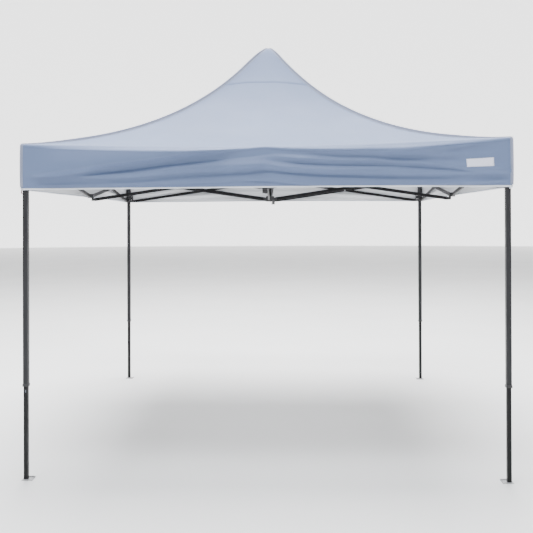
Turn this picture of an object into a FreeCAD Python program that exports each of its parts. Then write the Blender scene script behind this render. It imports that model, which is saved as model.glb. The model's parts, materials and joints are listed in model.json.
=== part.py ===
import FreeCAD, Part
import math
import os
import re
import Sketcher

# Pop-up canopy tent on four telescopic legs, in millimetres.
#
# The origin is on the ground under the peak, +Z is up, +X runs along the width
# and the front faces -Y. The folding frame is a lattice of equal scissor pairs:
# two spans along each side and one arm from the middle of each side to the
# centre. Every bar has the same length, crosses its partner at its middle and
# hangs between pivots at two levels, so the whole frame folds by one angle.

os.makedirs("parts", exist_ok=True)
doc = FreeCAD.newDocument("canopy_tent")
V = FreeCAD.Vector
UP = V(0, 0, 1)

# ---------------------------------------------------------------- dimensions
DIMENSIONS = {
    "leg_spacing": 2900,
    "outer_tube": 30,
    "outer_wall": 0.8,
    "outer_end": 565,
    "leg_top": 2016,
    "inner_tube": 25,
    "inner_wall": 0.8,
    "inner_top": 1110,
    "sleeve_size": 35,
    "sleeve_height": 15.5,
    "foot_size": 66,
    "foot_shift": 10,
    "foot_thick": 2.5,
    "foot_lip": 5,
    "stake_radius": 4.5,
    "stake_offset": 32,
    "upper_pivot": 1968,
    "lower_pivot": 1768,
    "arm_drop": 28,
    "leg_reach": 60,
    "mid_reach": 30,
    "arm_reach": 45,
    "bar_depth": 25,
    "bar_thick": 13,
    "bar_wall": 0.6,
    "plug_length": 15,
    "plane_offset": 6.8,
    "pin_radius": 3,
    "pin_gap": 0.06,
    "side_gap": 0.3,
    "head_radius": 5,
    "head_thick": 2,
    "cheek": 3,
    "lug_depth": 22,
    "lug_room": 13.5,
    "collar_size": 38,
    "collar_gap": 0.5,
    "bracket_low": 1885,
    "bracket_high": 2022,
    "slider_low": 1775,
    "slider_high": 1875,
    "latch_height": 1832,
    "latch_boss": 10,
    "latch_radius": 6,
    "knob_radius": 9,
    "knob_length": 6,
    "button_height": 573,
    "button_radius": 4.5,
    "button_length": 5.5,
    "button_nose": 16,
    "mid_width": 28,
    "mid_depth": 33.2,
    "mid_height": 32,
    "lug_block": 12,
    "hub_bore": 24,
    "hub_radius": 32,
    "hub_height": 44,
    "post_radius": 12.5,
    "post_wall": 1.2,
    "post_top": 2905,
    "cap_radius": 22,
    "cap_height": 34,
    "canopy_size": 2944,
    "canopy_thick": 1,
    "hem_height": 1753,
    "eave_height": 2045,
    "peak_height": 2945,
    "swoop_radius": 2080,
    "peak_radius": 70,
    "joint_overlap": 2,
    "clear_cut": 100,
}

dims = doc.addObject("Spreadsheet::Sheet", "dims")
for row, (alias, size) in enumerate(DIMENSIONS.items(), start=1):
    dims.set(f"A{row}", alias)
    dims.set(f"B{row}", str(size))
    dims.setAlias(f"B{row}", alias)
doc.recompute()


def value(expression):
    """The number that an expression in the sheet's cells gives."""
    return float(dims.evalExpression(expression))


LEG = value("leg_spacing / 2")
UPPER = value("upper_pivot")
LOWER = value("lower_pivot")
ARM_DROP = value("arm_drop")
LEG_REACH = value("leg_reach")
MID_REACH = value("mid_reach")
ARM_REACH = value("arm_reach")
OFFSET = value("plane_offset")
SPAN = LEG - LEG_REACH - MID_REACH
BAR_LENGTH = math.hypot(SPAN, UPPER - LOWER)
BAR_SLOPE = math.degrees(math.atan2(UPPER - LOWER, SPAN))

SIDES = ("front", "right", "back", "left")
ROOF_BREAKS = (0.375, 0.25, 0.135, 0.06, 0)
CORNERS = {
    "front_left": (-1, -1),
    "front_right": (1, -1),
    "back_right": (1, 1),
    "back_left": (-1, 1),
}


# ------------------------------------------------------------- small helpers
def bind(thing, **expressions):
    """Binds sizes of an object to expressions in the sheet's cells."""
    for size, expression in expressions.items():
        thing.setExpression(size, cells(expression))
    return thing


def cells(expression):
    """The expression with every cell's alias written in full."""
    return re.sub("[a-z_]+", lambda word: f"dims.{word[0]}" if word[0] in DIMENSIONS else word[0], expression)


def box(name, length, width, height, centre):
    """A box of three sizes from the sheet about its centre."""
    solid = bind(doc.addObject("Part::Box", name), Length=length, Width=width, Height=height)
    half = V(value(length), value(width), value(height)) / 2
    solid.Placement.Base = centre - half
    return solid


def rod(name, radius, height, centre, axis):
    """A cylinder of sizes from the sheet about its centre, along an axis."""
    solid = bind(doc.addObject("Part::Cylinder", name), Radius=radius, Height=height)
    turn = FreeCAD.Rotation(UP, axis)
    base = centre - axis * (value(height) / 2)
    solid.Placement = FreeCAD.Placement(base, turn)
    return solid


def fuse(name, solids):
    joined = doc.addObject("Part::MultiFuse", name)
    joined.Shapes = solids
    return joined


def cut(name, base, tool):
    remainder = doc.addObject("Part::Cut", name)
    remainder.Base = base
    remainder.Tool = tool
    return remainder


def turned(solid, base, yaw):
    """Places a solid at a point, turned about the vertical."""
    solid.Placement = FreeCAD.Placement(base, FreeCAD.Rotation(UP, yaw))
    return solid


nodes = []


def node(solid, name):
    """Names a finished sub-part, which gives its file its name."""
    solid.Label = name
    nodes.append(solid)
    return solid


# -------------------------------------------------------------------- clevis
def clevis(name, root, reach, side, height=0):
    """A fork along +X for a bar's end, with its pin, in a connector's frame.

    root is where the fork leaves the connector, reach is the pivot, side is
    the bar's offset across the fork and height is the pivot's height.
    """
    pivot = V(value(reach), side, height)
    width = "bar_thick + 2 * side_gap + 2 * cheek"
    neck_centre = V((value(root) + pivot.x) / 2, side, height)
    neck = box(f"{name}_neck", f"{reach} - {root}", width, "lug_depth", neck_centre)
    end = rod(f"{name}_end", "lug_depth / 2", width, pivot, V(0, 1, 0))
    heads = rod(f"{name}_heads", "head_radius", f"{width} + 2 * head_thick", pivot, V(0, 1, 0))
    slot_length = "lug_room + lug_depth"
    slot_centre = pivot + V(value(slot_length) / 2 - value("lug_room"), 0, 0)
    slot = box(f"{name}_slot", slot_length, "bar_thick + 2 * side_gap", "2 * lug_depth", slot_centre)
    fork = cut(f"{name}_fork", fuse(f"{name}_solid", [neck, end, heads]), slot)
    pin = rod(f"{name}_pin", "pin_radius", width, pivot, V(0, 1, 0))
    return fuse(f"{name}_clevis", [fork, pin])


# ---------------------------------------------------------------------- bars
def bar(name, start, yaw, slope, carries_pin, partner_side=0):
    """A rectangular tube with plugged, rounded ends and a hole at each end.

    start is its first pivot; it runs from there along +X, turned by yaw and
    raised by slope. One bar of each pair carries the middle pin, which stands
    out on partner_side, and the other has the hole for it.
    """
    middle = V(BAR_LENGTH / 2, 0, 0)
    far = V(BAR_LENGTH, 0, 0)
    across = V(0, 1, 0)
    length = "sqrt((leg_spacing / 2 - leg_reach - mid_reach) ^ 2 + (upper_pivot - lower_pivot) ^ 2)"
    tube = doc.addObject("Part::Box", f"{name}_tube")
    tube.setExpression("Length", cells(length))
    bind(tube, Width="bar_thick", Height="bar_depth")
    half_size = V(0, value("bar_thick") / 2, value("bar_depth") / 2)
    tube.Placement.Base = -half_size
    ends = [rod(f"{name}_end_{n}", "bar_depth / 2", "bar_thick", at, across)
            for n, at in enumerate((V(), far))]
    body = fuse(f"{name}_body", [tube, *ends])

    hollow = doc.addObject("Part::Box", f"{name}_hollow")
    hollow.setExpression("Length", cells(f"{length} - 2 * plug_length"))
    bind(hollow, Width="bar_thick - 2 * bar_wall", Height="bar_depth - 2 * bar_wall")
    wall = value("bar_wall")
    hollow.Placement.Base = V(value("plug_length"), 0, 0) - half_size + V(0, wall, wall)
    hole_centres = [V(), far] if carries_pin else [V(), middle, far]
    holes = [rod(f"{name}_hole_{n}", "pin_radius + pin_gap", "2 * bar_thick", at, across)
             for n, at in enumerate(hole_centres)]
    strut = cut(f"{name}_strut", body, fuse(f"{name}_holes", [hollow, *holes]))

    if carries_pin:
        pair = value("plane_offset") * 2
        pin_length = "2 * plane_offset + bar_thick + 2 * side_gap"
        pin_centre = middle + across * (partner_side * pair / 2)
        pin = rod(f"{name}_pin", "pin_radius", pin_length, pin_centre, across)
        head_shift = (value(pin_length) + value("head_thick")) / 2
        heads = [rod(f"{name}_head_{n}", "head_radius", "head_thick",
                     pin_centre + across * (end * head_shift), across)
                 for n, end in enumerate((-1, 1))]
        strut = fuse(f"{name}_pinned", [strut, pin, *heads])
    turn = FreeCAD.Rotation(UP, yaw) * FreeCAD.Rotation(across, -slope)
    strut.Placement = FreeCAD.Placement(start, turn)
    return node(strut, name)


def side_spans(index, side):
    """The two scissor pairs along one side, from its corners to its middle."""
    yaw = 90 * index
    turn = FreeCAD.Rotation(UP, yaw)
    for half, along in (("start", 1), ("end", -1)):
        corner = V(-along * (LEG - LEG_REACH), -LEG, 0)
        inner = corner + V(0, OFFSET, UPPER)
        outer = corner + V(0, -OFFSET, LOWER)
        heading = yaw if along > 0 else yaw + 180
        bar(f"side_bar_falling_{side}_{half}", turn.multVec(inner), heading, -BAR_SLOPE, True, -along)
        bar(f"side_bar_rising_{side}_{half}", turn.multVec(outer), heading, BAR_SLOPE, False)


def arm(index, side):
    """The scissor pair from the centre to the middle of one side."""
    yaw = 90 * index - 90
    turn = FreeCAD.Rotation(UP, yaw)
    high = turn.multVec(V(ARM_REACH, OFFSET, UPPER - ARM_DROP))
    low = turn.multVec(V(ARM_REACH, -OFFSET, LOWER - ARM_DROP))
    bar(f"arm_falling_{side}", high, yaw, -BAR_SLOPE, True, -1)
    bar(f"arm_rising_{side}", low, yaw, BAR_SLOPE, False)


# ---------------------------------------------------------------- connectors
def mid_connector(index, side, level, pivot_height):
    """The fitting at the middle of a side: two side forks and one inward fork.

    Its frame has +X along the side and +Y towards the centre of the tent.
    """
    name = f"mid_{level}_{side}"
    side_plane = OFFSET if level == "lower" else -OFFSET
    block = box(f"{name}_block", "mid_width", "mid_depth", "mid_height", V())
    drop_height = "arm_drop + lug_depth / 2 + mid_height / 2"
    drop_centre = V(0, value("mid_depth") / 2 + value("lug_block") / 2,
                    value("mid_height") / 2 - value(drop_height) / 2)
    inward = box(f"{name}_inward", "mid_width", "lug_block + joint_overlap", drop_height, drop_centre)
    forks = []
    for sign in (1, -1):
        fork = clevis(f"{name}_fork_{sign + 1}", "mid_width / 2 - joint_overlap", "mid_reach", side_plane * sign)
        forks.append(turned(fork, V(), 0 if sign > 0 else 180))
    arm_side = -OFFSET if level == "lower" else OFFSET
    arm_fork = clevis(f"{name}_arm", "mid_depth / 2 + joint_overlap", "arm_reach", arm_side)
    forks.append(turned(arm_fork, V(0, 0, -ARM_DROP), 90))
    fitting = fuse(f"{name}_fitting", [block, inward, *forks])
    turn = FreeCAD.Rotation(UP, 90 * index)
    fitting.Placement = FreeCAD.Placement(turn.multVec(V(0, -LEG, pivot_height)), turn)
    node(fitting, name)


def hub(name, height, plane, bore):
    """A ring with a fork for each of the four arms, about the vertical axis."""
    ring = rod(f"{name}_ring", "hub_radius", "hub_height", V(), UP)
    ring = cut(f"{name}_open_ring", ring, rod(f"{name}_bore", bore, "2 * hub_height", V(), UP))
    forks = []
    for index in range(4):
        fork = clevis(f"{name}_fork_{index}", "hub_bore + joint_overlap", "arm_reach", plane)
        forks.append(turned(fork, V(), 90 * index))
    whole = fuse(f"{name}_whole", [ring, *forks])
    whole.Placement.Base = V(0, 0, height)
    node(whole, name)


def king_post():
    """The centre pole on the lower hub, with the round cap under the peak."""
    low = value("lower_pivot - arm_drop - hub_height / 2")
    length = "post_top - lower_pivot + arm_drop + hub_height / 2"
    middle = V(0, 0, value(length) / 2)
    tube = rod("post_tube", "post_radius", length, middle, UP)
    bore = rod("post_bore", "post_radius - post_wall", length, middle, UP)
    pole = cut("post_pole", tube, bore)
    cap_base = V(0, 0, value(length))
    skirt_height = "cap_height - cap_radius"
    skirt = rod("cap_skirt", "cap_radius", skirt_height, cap_base + V(0, 0, value(skirt_height) / 2), UP)
    dome = bind(doc.addObject("Part::Sphere", "cap_dome"), Radius="cap_radius")
    dome.Angle1 = 0
    dome.Placement.Base = cap_base + V(0, 0, value(skirt_height))
    cap = fuse("post_cap", [skirt, dome])
    whole = fuse("post_whole", [pole, cap])
    whole.Placement.Base = V(0, 0, low)
    node(whole, "king_post")


# ---------------------------------------------------------------------- legs
def square_tube(name, size, wall, low, high):
    """An upright square tube about the Z axis."""
    height = f"{high} - {low}"
    centre = V(0, 0, (value(high) + value(low)) / 2)
    outside = box(f"{name}_outside", size, size, height, centre)
    inside_size = f"{size} - 2 * {wall}"
    inside = box(f"{name}_inside", inside_size, inside_size, f"{height} + clear_cut", centre)
    return cut(f"{name}_tube", outside, inside)


def leg(corner, sign_x, sign_y):
    """One telescopic leg and the fittings on it, about its own axis."""
    base = V(sign_x * LEG, sign_y * LEG, 0)
    outward_x = V(sign_x, 0, 0)
    inward_y = V(0, -sign_y, 0)

    # outer tube with the sleeve at its lower end and the holes for the pins
    name = f"outer_leg_{corner}"
    tube = square_tube(name, "outer_tube", "outer_wall", "outer_end", "leg_top")
    sleeve = square_tube(f"{name}_sleeve", "sleeve_size", "( sleeve_size - outer_tube ) / 2",
                         "outer_end", "outer_end + sleeve_height")
    button_at = outward_x * value("outer_tube / 2") + UP * value("button_height")
    button_hole = rod(f"{name}_button_hole", "button_radius + pin_gap", "outer_tube / 2",
                      button_at, outward_x)
    latch_at = inward_y * value("outer_tube / 2") + UP * value("latch_height")
    latch_hole = rod(f"{name}_latch_hole", "latch_radius + side_gap", "outer_tube / 2",
                     latch_at, inward_y)
    solid = cut(f"{name}_drilled", fuse(f"{name}_sleeved", [tube, sleeve]),
                fuse(f"{name}_drill", [button_hole, latch_hole]))
    solid.Placement.Base = base
    node(solid, name)

    # inner tube welded to its foot plate
    name = f"inner_leg_{corner}"
    tube = square_tube(name, "inner_tube", "inner_wall", "foot_thick", "inner_top")
    shift = V(-sign_x, -sign_y, 0) * value("foot_shift")
    plate = box(f"{name}_plate", "foot_size", "foot_size", "foot_thick",
                shift + UP * value("foot_thick / 2"))
    edge = value("foot_size / 2 - foot_thick / 2")
    lip_high = UP * value("foot_thick + foot_lip / 2")
    lip_x = box(f"{name}_lip_x", "foot_thick", "foot_size", "foot_lip",
                shift + V(-sign_x * edge, 0, 0) + lip_high)
    lip_y = box(f"{name}_lip_y", "foot_size", "foot_thick", "foot_lip",
                shift + V(0, -sign_y * edge, 0) + lip_high)
    stake_at = V(-sign_x, -sign_y, 0) * value("stake_offset")
    stake = rod(f"{name}_stake", "stake_radius", "4 * foot_thick", stake_at, UP)
    foot = cut(f"{name}_foot", fuse(f"{name}_folded_plate", [plate, lip_x, lip_y]), stake)
    solid = fuse(f"{name}_welded", [tube, foot])
    solid.Placement.Base = base
    node(solid, name)

    # height button in the sleeve, pressed towards the leg
    length = "button_length"
    centre = outward_x * (value("button_nose") + value(length) / 2) + UP * value("button_height")
    solid = rod(f"leg_button_{corner}_rod", "button_radius", length, centre, outward_x)
    solid.Placement.Base += base
    node(solid, f"leg_button_{corner}")

    collars(corner, sign_x, sign_y, base)


def collars(corner, sign_x, sign_y, base):
    """The fixed top bracket, the sliding bracket below it and its latch."""
    yaw_x = 0 if sign_x < 0 else 180
    yaw_y = 90 if sign_y < 0 else -90
    inward = V(0, -sign_y, 0)

    def forks(name, plane, height):
        """Forks along both sides; plane is the bar's offset towards the centre."""
        made = []
        for along, yaw, toward in (("x", yaw_x, V(0, -sign_y, 0)), ("y", yaw_y, V(-sign_x, 0, 0))):
            facing = FreeCAD.Rotation(UP, yaw).multVec(V(0, 1, 0))
            side = plane * facing.dot(toward)
            fork = clevis(f"{name}_{along}", "collar_size / 2 - joint_overlap", "leg_reach", side)
            made.append(turned(fork, UP * height, yaw))
        return made

    name = f"top_bracket_{corner}"
    height = "bracket_high - bracket_low"
    centre = UP * value("( bracket_high + bracket_low ) / 2")
    collar = box(f"{name}_collar", "collar_size", "collar_size", height, centre)
    socket_size = "outer_tube + pin_gap"
    socket_height = "leg_top - bracket_low"
    socket_centre = UP * value("( leg_top + bracket_low ) / 2")
    socket = box(f"{name}_socket", socket_size, socket_size, socket_height, socket_centre)
    solid = cut(f"{name}_body", fuse(f"{name}_forked", [collar, *forks(name, OFFSET, UPPER)]), socket)
    solid.Placement.Base = base
    node(solid, name)

    name = f"slider_{corner}"
    height = "slider_high - slider_low"
    centre = UP * value("( slider_high + slider_low ) / 2")
    collar = box(f"{name}_collar", "collar_size", "collar_size", height, centre)
    skirt_height = "slider_low - lower_pivot + lug_depth / 2"
    skirt_side = V(-sign_x, -sign_y, 0) * value("collar_size / 4")
    skirt = box(f"{name}_skirt", "collar_size / 2", "collar_size / 2", skirt_height,
                UP * (value("slider_low") - value(skirt_height) / 2) + skirt_side)
    boss_at = inward * value("collar_size / 2 + latch_boss / 2") + UP * value("latch_height")
    boss = rod(f"{name}_boss", "knob_radius", "latch_boss", boss_at, inward)
    way_size = "outer_tube + 2 * collar_gap"
    way = box(f"{name}_way", way_size, way_size, f"{height} + clear_cut", centre)
    bore = rod(f"{name}_latch_bore", "latch_radius + pin_gap", "collar_size", boss_at, inward)
    solid = cut(f"{name}_body", fuse(f"{name}_forked", [collar, skirt, boss, *forks(name, -OFFSET, LOWER)]),
                fuse(f"{name}_ways", [way, bore]))
    solid.Placement.Base = base
    node(solid, name)

    name = f"slider_latch_{corner}"
    nose = value("outer_tube / 2 + side_gap")
    stem_length = "collar_size / 2 + latch_boss - outer_tube / 2"
    stem_at = inward * (nose + value(stem_length) / 2) + UP * value("latch_height")
    stem = rod(f"{name}_stem", "latch_radius", stem_length, stem_at, inward)
    knob_at = inward * (nose + value(stem_length) + value("knob_length / 2")) + UP * value("latch_height")
    knob = rod(f"{name}_knob", "knob_radius", "knob_length", knob_at, inward)
    solid = fuse(f"{name}_pull", [stem, knob])
    solid.Placement.Base = base
    node(solid, name)


# -------------------------------------------------------------------- canopy
def roof_sketch(name, inset):
    """The tent's section as a closed outline, inset from the outside.

    The roof sweeps up in one arc to a small round peak, and the valance hangs
    from the eave. The sketch has +X across the tent and +Y upwards.
    """
    half = value(f"canopy_size / 2 - {inset}")
    hem = value("hem_height")
    sweep_radius = value(f"swoop_radius + {inset}")
    tip_radius = value(f"peak_radius - {inset}")
    eave = V(half, value(f"eave_height - {inset}"), 0)
    tip_centre = V(0, value("peak_height - peak_radius"), 0)
    # the sweep's circle passes through the eave and touches the peak's circle
    reach = sweep_radius + tip_radius
    to_eave = eave - tip_centre
    along = (to_eave.Length ** 2 + reach ** 2 - sweep_radius ** 2) / (2 * to_eave.Length)
    beside = math.sqrt(reach ** 2 - along ** 2)
    unit = to_eave / to_eave.Length
    sweep_centre = tip_centre + unit * along + V(-unit.y, unit.x, 0) * beside
    touch = tip_centre + (sweep_centre - tip_centre) * (tip_radius / reach)
    sweep_middle = ((eave + touch) / 2 - sweep_centre).normalize() * sweep_radius + sweep_centre

    def mirrored(point):
        return V(-point.x, point.y, 0)

    sketch = doc.addObject("Sketcher::SketchObject", name)
    sketch.addGeometry([
        Part.LineSegment(V(half, hem, 0), eave),
        Part.Arc(touch, sweep_middle, eave),
        Part.Arc(touch, V(0, tip_centre.y + tip_radius, 0), mirrored(touch)),
        Part.Arc(mirrored(eave), mirrored(sweep_middle), mirrored(touch)),
        Part.LineSegment(mirrored(eave), V(-half, hem, 0)),
        Part.LineSegment(V(-half, hem, 0), V(half, hem, 0)),
    ], False)
    right, right_sweep, tip, left_sweep, left, bottom = range(6)
    start, end, middle = 1, 2, 3
    origin, axis_y = (-1, 1), -2
    for rule in (
        ("Coincident", right, end, right_sweep, end),
        ("Tangent", right_sweep, start, tip, start),
        ("Tangent", tip, end, left_sweep, end),
        ("Coincident", left_sweep, start, left, start),
        ("Coincident", left, end, bottom, start),
        ("Coincident", bottom, end, right, start),
        ("Vertical", right),
        ("Symmetric", left, end, right, start, axis_y),
        ("Symmetric", left, start, right, end, axis_y),
        ("PointOnObject", tip, middle, axis_y),
    ):
        sketch.addConstraint(Sketcher.Constraint(*rule))
    for rule, size in (
        (("DistanceX", *origin, right, start, half), f"canopy_size / 2 - {inset}"),
        (("DistanceY", *origin, right, start, hem), "hem_height"),
        (("DistanceY", *origin, right, end, eave.y), f"eave_height - {inset}"),
        (("DistanceY", *origin, tip, middle, tip_centre.y), "peak_height - peak_radius"),
        (("Radius", tip, tip_radius), f"peak_radius - {inset}"),
        (("Radius", right_sweep, sweep_radius), f"swoop_radius + {inset}"),
        (("Radius", left_sweep, sweep_radius), f"swoop_radius + {inset}"),
    ):
        index = sketch.addConstraint(Sketcher.Constraint(*rule))
        sketch.setExpression(f"Constraints[{index}]", cells(size))
    return sketch


def mound(name, inset):
    """The room under the canopy as one solid: two crossed extrusions of its section."""
    sweeps = []
    for heading in (0, 90):
        sketch = roof_sketch(f"{name}_section_{heading}", inset)
        upright = FreeCAD.Rotation(UP, heading) * FreeCAD.Rotation(V(1, 0, 0), 90)
        sketch.Placement = FreeCAD.Placement(V(), upright)
        sweep = doc.addObject("Part::Extrusion", f"{name}_sweep_{heading}")
        sweep.Base = sketch
        sweep.DirMode = "Normal"
        sweep.Solid = True
        sweep.Symmetric = True
        bind(sweep, LengthFwd="canopy_size + clear_cut")
        sweeps.append(sweep)
    common = doc.addObject("Part::MultiCommon", f"{name}_mound")
    common.Shapes = sweeps
    return common


def gore_slice(name, outer, inner, yaw):
    """The room over one side's quarter of the plan, between two distances from the peak."""
    low, high = "hem_height - clear_cut", "peak_height + clear_cut"
    wedge = bind(doc.addObject("Part::Wedge", name),
                 Ymin=f"-({outer})", Xmin=f"-({outer})", Xmax=outer, Zmin=low, Zmax=high,
                 Ymax=f"-({inner})", X2min=f"-({inner})", X2max=inner, Z2min=low, Z2max=high)
    return turned(wedge, V(), yaw)


def canopy():
    """Roof and valance as one thin skin, open below.

    The skin is one shape in touching panels, a valance and five strips of roof
    on each side, so that each panel is nearly flat.
    """
    outside = mound("canopy_outside", "0")
    inside = mound("canopy_inside", "canopy_thick")
    below = box("canopy_below", "canopy_size - 2 * canopy_thick", "canopy_size - 2 * canopy_thick",
                "2 * clear_cut", V(0, 0, value("hem_height + canopy_thick - clear_cut")))
    skin = cut("canopy_skin", outside, fuse("canopy_room", [inside, below]))
    breaks = ["canopy_size / 2", "canopy_size / 2 - canopy_thick"]
    breaks += [f"canopy_size * {share}" for share in ROOF_BREAKS]
    panels = []
    for index, side in enumerate(SIDES):
        for number, (outer, inner) in enumerate(zip(breaks, breaks[1:])):
            room = gore_slice(f"canopy_room_{side}_{number}", outer, inner, 90 * index)
            panel = doc.addObject("Part::MultiCommon", f"canopy_panel_{side}_{number}")
            panel.Shapes = [skin, room]
            panels.append(panel)
    whole = doc.addObject("Part::Compound", "canopy_whole")
    whole.Links = panels
    node(whole, "canopy")


# --------------------------------------------------------------------- build
for index, side in enumerate(SIDES):
    side_spans(index, side)
    arm(index, side)
    mid_connector(index, side, "lower", LOWER)
    mid_connector(index, side, "upper", UPPER)
for corner, (sign_x, sign_y) in CORNERS.items():
    leg(corner, sign_x, sign_y)
hub("upper_hub", value("upper_pivot - arm_drop"), OFFSET, "hub_bore")
hub("lower_hub", value("lower_pivot - arm_drop"), -OFFSET, "post_radius")
king_post()
canopy()
doc.recompute()

for thing in doc.Objects:
    if "Invalid" in thing.State or "Error" in thing.State:
        raise SystemExit(f"{thing.Name} failed: {thing.State}")
for solid in nodes:
    shape = solid.Shape
    if shape.isNull() or not shape.isValid():
        raise SystemExit(f"{solid.Label} has no valid shape")
    shape.exportStep(f"parts/{solid.Label}.step")
print(len(nodes), "sub-parts written")
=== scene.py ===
import json
import math

import bpy
import numpy as np
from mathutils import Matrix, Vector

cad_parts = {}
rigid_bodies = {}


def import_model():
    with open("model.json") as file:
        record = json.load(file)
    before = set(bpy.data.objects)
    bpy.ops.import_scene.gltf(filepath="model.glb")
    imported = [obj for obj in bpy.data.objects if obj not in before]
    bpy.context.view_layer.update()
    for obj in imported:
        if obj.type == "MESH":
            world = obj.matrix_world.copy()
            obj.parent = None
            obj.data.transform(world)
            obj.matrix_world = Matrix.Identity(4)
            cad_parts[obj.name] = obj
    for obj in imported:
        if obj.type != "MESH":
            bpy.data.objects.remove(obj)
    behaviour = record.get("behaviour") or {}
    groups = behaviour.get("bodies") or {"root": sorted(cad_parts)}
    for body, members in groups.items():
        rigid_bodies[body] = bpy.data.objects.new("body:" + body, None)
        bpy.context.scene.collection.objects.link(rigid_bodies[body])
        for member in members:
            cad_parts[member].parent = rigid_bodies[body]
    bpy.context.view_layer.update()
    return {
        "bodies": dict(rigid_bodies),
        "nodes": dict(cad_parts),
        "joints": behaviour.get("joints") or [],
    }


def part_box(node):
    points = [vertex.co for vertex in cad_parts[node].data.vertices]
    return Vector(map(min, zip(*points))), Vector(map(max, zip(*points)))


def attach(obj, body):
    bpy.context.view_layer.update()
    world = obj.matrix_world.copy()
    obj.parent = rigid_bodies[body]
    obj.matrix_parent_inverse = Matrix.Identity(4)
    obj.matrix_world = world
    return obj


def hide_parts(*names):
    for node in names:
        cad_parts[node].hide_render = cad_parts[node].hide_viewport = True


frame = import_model()
scene = bpy.context.scene
nodes = frame["nodes"]
joints = {joint["name"]: joint for joint in frame["joints"]}
ROOT = "canopy_and_upper_hub"
CORNERS = ("front_left", "front_right", "back_right", "back_left")      # at each side's left end

# ------------------------------------------------------------------- camera
# the photograph's camera, solved from its four legs and feet
CAMERA_PLACE = (0.133, -5.856, 1.556)
CAMERA_TURN = (90.26, 0.19, 1.59)
CAMERA_LENS = 49.5
CAMERA_SHIFT = -0.090

camera = bpy.data.objects.new("camera", bpy.data.cameras.new("camera"))
scene.collection.objects.link(camera)
camera.location = CAMERA_PLACE
camera.rotation_euler = [math.radians(turn) for turn in CAMERA_TURN]
camera.data.lens = CAMERA_LENS
camera.data.shift_y = CAMERA_SHIFT
scene.camera = camera

# ------------------------------------------------- sizes taken from the frame
canopy_low, canopy_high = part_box("canopy")
HALF = canopy_high[0]
HEM = canopy_low[2]
PEAK = canopy_high[2]
tube_low, tube_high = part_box("outer_leg_front_right")
LEG = (tube_low[0] + tube_high[0]) / 2
POST_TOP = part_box("king_post")[1][2]
ARM_REACH = abs(joints["fold"]["pos_m"][1])
UPPER_ARM = joints["fold"]["pos_m"][2]
LOWER_ARM = joints["lower_hub_turn"]["pos_m"][2]
BAR_SPAN = LEG - 2 * ARM_REACH
BAR_RISE = UPPER_ARM - LOWER_ARM
BAR_LENGTH = math.hypot(BAR_SPAN, BAR_RISE)
STEEPEST = math.atan2(BAR_RISE, BAR_SPAN) + math.radians(joints["fold"]["range_deg"][1])
# how far a side comes in, and the centre post goes down, on the folded frame
TRAVEL_IN = BAR_SPAN - BAR_LENGTH * math.cos(STEEPEST)
TRAVEL_DOWN = BAR_LENGTH * math.sin(STEEPEST) - BAR_RISE
FOLDED_HALF = HALF - TRAVEL_IN


# ---------------------------------------------------------------- materials
class Finish:
    """A material with a Principled shader and short calls for its nodes."""

    def __init__(self, name, colour, roughness, metallic=0.0, sheen=0.0):
        self.material = bpy.data.materials.new(name)
        self.material.use_nodes = True
        self.tree = self.material.node_tree
        self.shader = self.tree.nodes["Principled BSDF"]
        self.set("Base Color", (*colour, 1))
        self.set("Roughness", roughness)
        self.set("Metallic", metallic)
        self.set("Sheen Weight", sheen)
        self.place = self.add("ShaderNodeTexCoord").outputs["Object"]

    def set(self, socket, setting):
        self.shader.inputs[socket].default_value = setting

    def add(self, kind, **settings):
        made = self.tree.nodes.new(kind)
        for name, setting in settings.items():
            setattr(made, name, setting)
        return made

    def link(self, source, socket):
        self.tree.links.new(source, socket)

    def noise(self, scale, detail=3.0, stretch=(1, 1, 1)):
        """Soft noise whose features are about 1 / scale metres."""
        mapping = self.add("ShaderNodeMapping")
        mapping.inputs["Scale"].default_value = stretch
        self.link(self.place, mapping.inputs["Vector"])
        noise = self.add("ShaderNodeTexNoise")
        noise.inputs["Scale"].default_value = scale
        noise.inputs["Detail"].default_value = detail
        self.link(mapping.outputs["Vector"], noise.inputs["Vector"])
        return noise.outputs["Fac"]

    def ramp(self, source, stops):
        """Colours along a value: stops are (position, colour) pairs."""
        ramp = self.add("ShaderNodeValToRGB")
        elements = ramp.color_ramp.elements
        while len(elements) < len(stops):
            elements.new(0.5)
        for element, (position, colour) in zip(elements, stops):
            element.position = position
            element.color = (*colour, 1)
        self.link(source, ramp.inputs["Fac"])
        return ramp.outputs["Color"]

    def math(self, operation, first, second):
        node = self.add("ShaderNodeMath", operation=operation)
        for socket, source in zip(node.inputs, (first, second)):
            if isinstance(source, (int, float)):
                socket.default_value = source
            else:
                self.link(source, socket)
        return node.outputs[0]

    def range(self, source, low, high):
        """Turns a 0 to 1 value into low to high."""
        node = self.add("ShaderNodeMapRange")
        node.inputs["To Min"].default_value = low
        node.inputs["To Max"].default_value = high
        self.link(source, node.inputs["Value"])
        return node.outputs["Result"]

    def colour(self, source):
        self.link(source, self.shader.inputs["Base Color"])

    def roughness(self, source):
        self.link(source, self.shader.inputs["Roughness"])

    def bump(self, source, distance, strength=1.0):
        """Adds a layer of relief, distance metres deep."""
        bump = self.add("ShaderNodeBump")
        bump.inputs["Distance"].default_value = distance
        bump.inputs["Strength"].default_value = strength
        self.link(source, bump.inputs["Height"])
        normal = self.shader.inputs["Normal"]
        if normal.is_linked:
            self.link(normal.links[0].from_socket, bump.inputs["Normal"])
        self.link(bump.outputs["Normal"], normal)


def mixed(colour, factor):
    return tuple(min(1.0, channel * factor) for channel in colour)


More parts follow.
